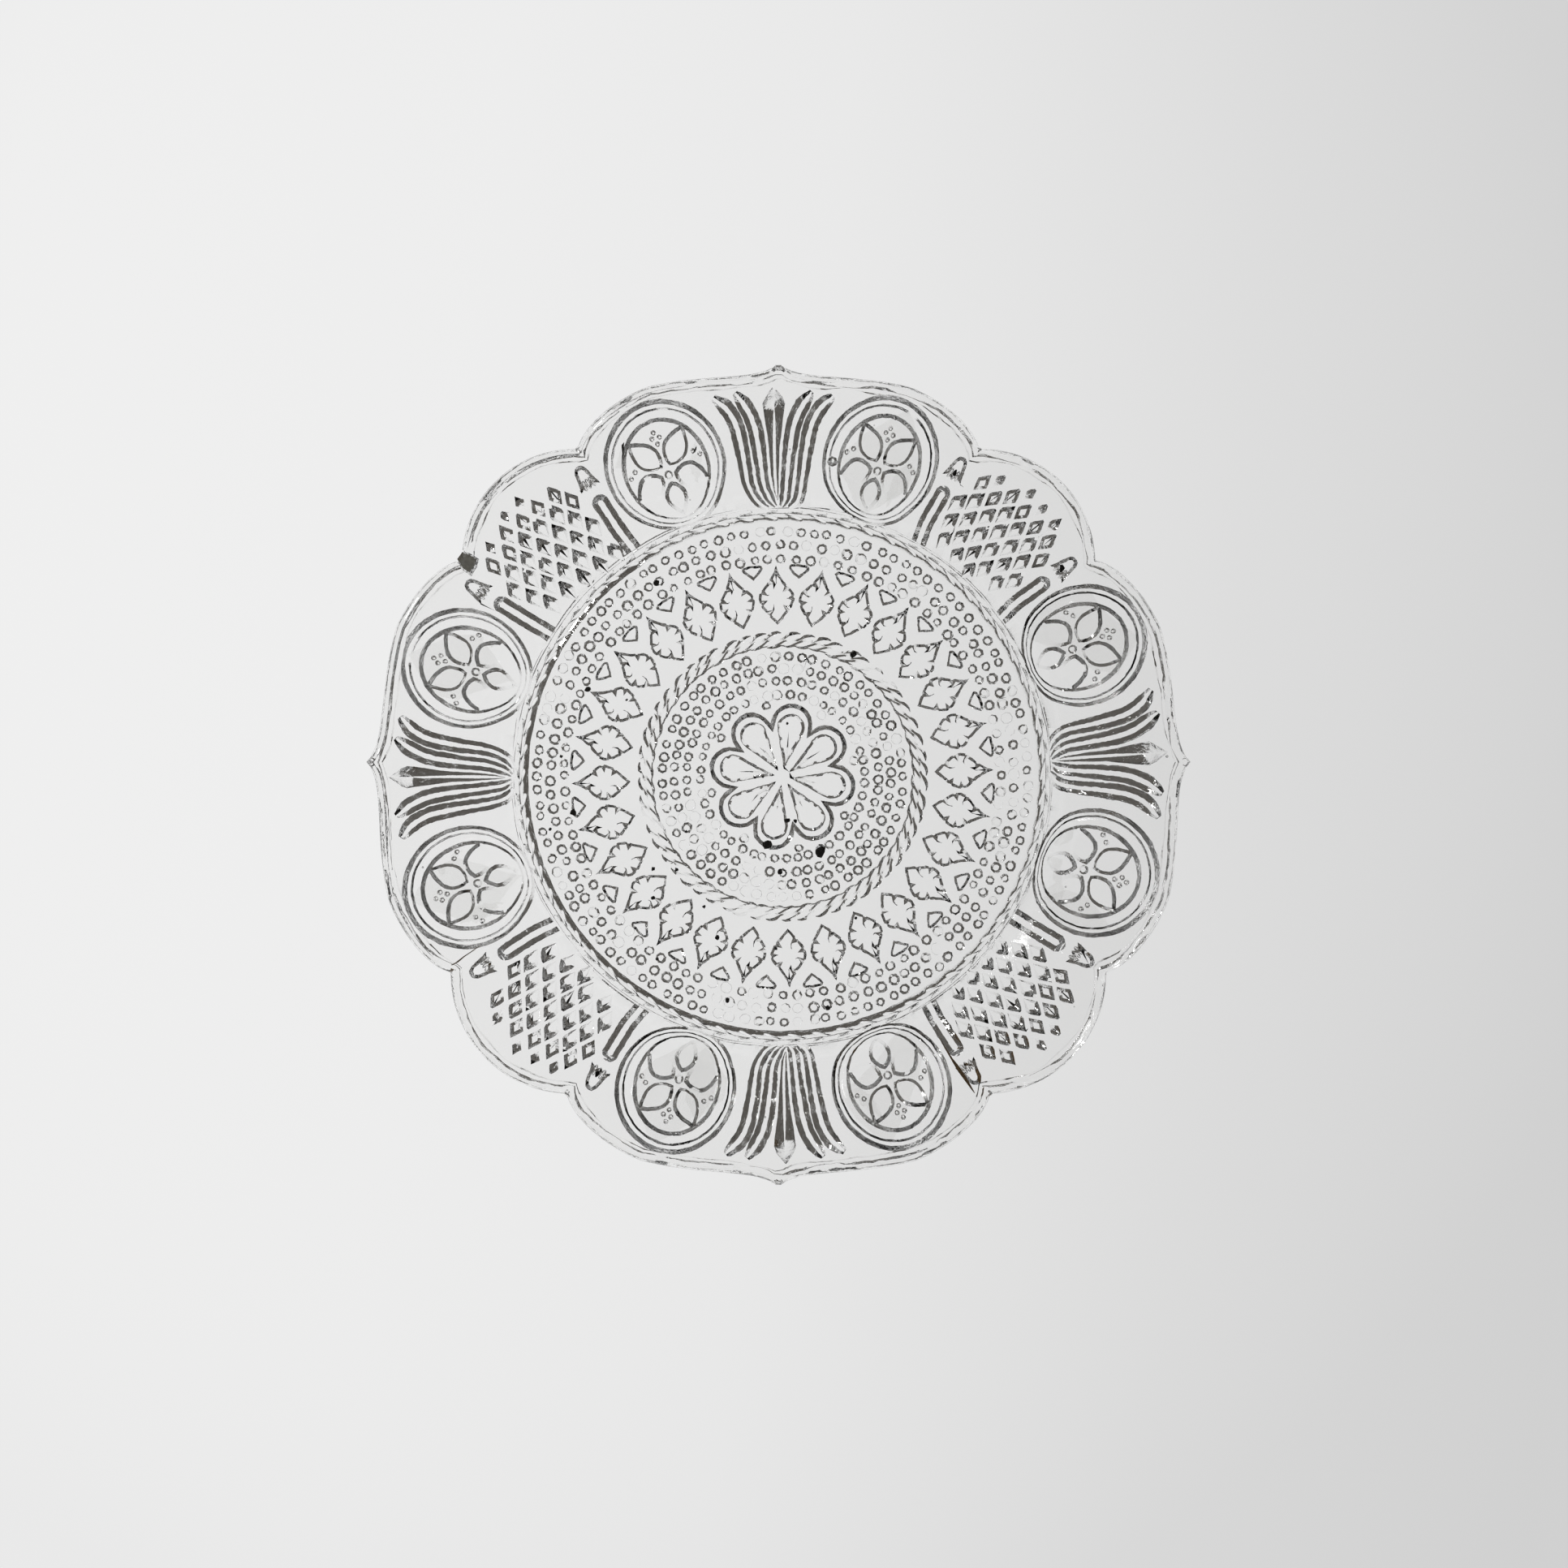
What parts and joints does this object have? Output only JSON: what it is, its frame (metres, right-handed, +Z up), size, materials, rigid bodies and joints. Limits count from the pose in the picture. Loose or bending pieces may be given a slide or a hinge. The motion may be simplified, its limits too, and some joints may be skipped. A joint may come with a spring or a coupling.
{
  "type": "glass plate",
  "caption": "Small round pressed-glass plate with a flat well on a raised table ring and a flared, scalloped rim, its underside covered in pressed ornament.",
  "frame": {"origin": "on the table under the middle of the plate, at the foot of the table ring", "axes": "+Z up out of the well; +X, -X, +Y and -Y each run through the middle of a palmette"},
  "size_m": [0.09, 0.09, 0.0113],
  "materials": {
    "clear_glass": "clear pressed glass, smooth on top and patterned underneath"
  },
  "bodies": {
    "root": {"centre_disc": "clear_glass", "rope_ring": "clear_glass", "leaf_band": "clear_glass", "table_ring": "clear_glass", "palmette_panel_1": "clear_glass", "medallion_panel_left_1": "clear_glass", "medallion_panel_right_1": "clear_glass", "diamond_panel_1": "clear_glass", "palmette_panel_2": "clear_glass", "medallion_panel_left_2": "clear_glass", "medallion_panel_right_2": "clear_glass", "diamond_panel_2": "clear_glass", "palmette_panel_3": "clear_glass", "medallion_panel_left_3": "clear_glass", "medallion_panel_right_3": "clear_glass", "diamond_panel_3": "clear_glass", "palmette_panel_4": "clear_glass", "medallion_panel_left_4": "clear_glass", "medallion_panel_right_4": "clear_glass", "diamond_panel_4": "clear_glass"}
  },
  "joints": []
}
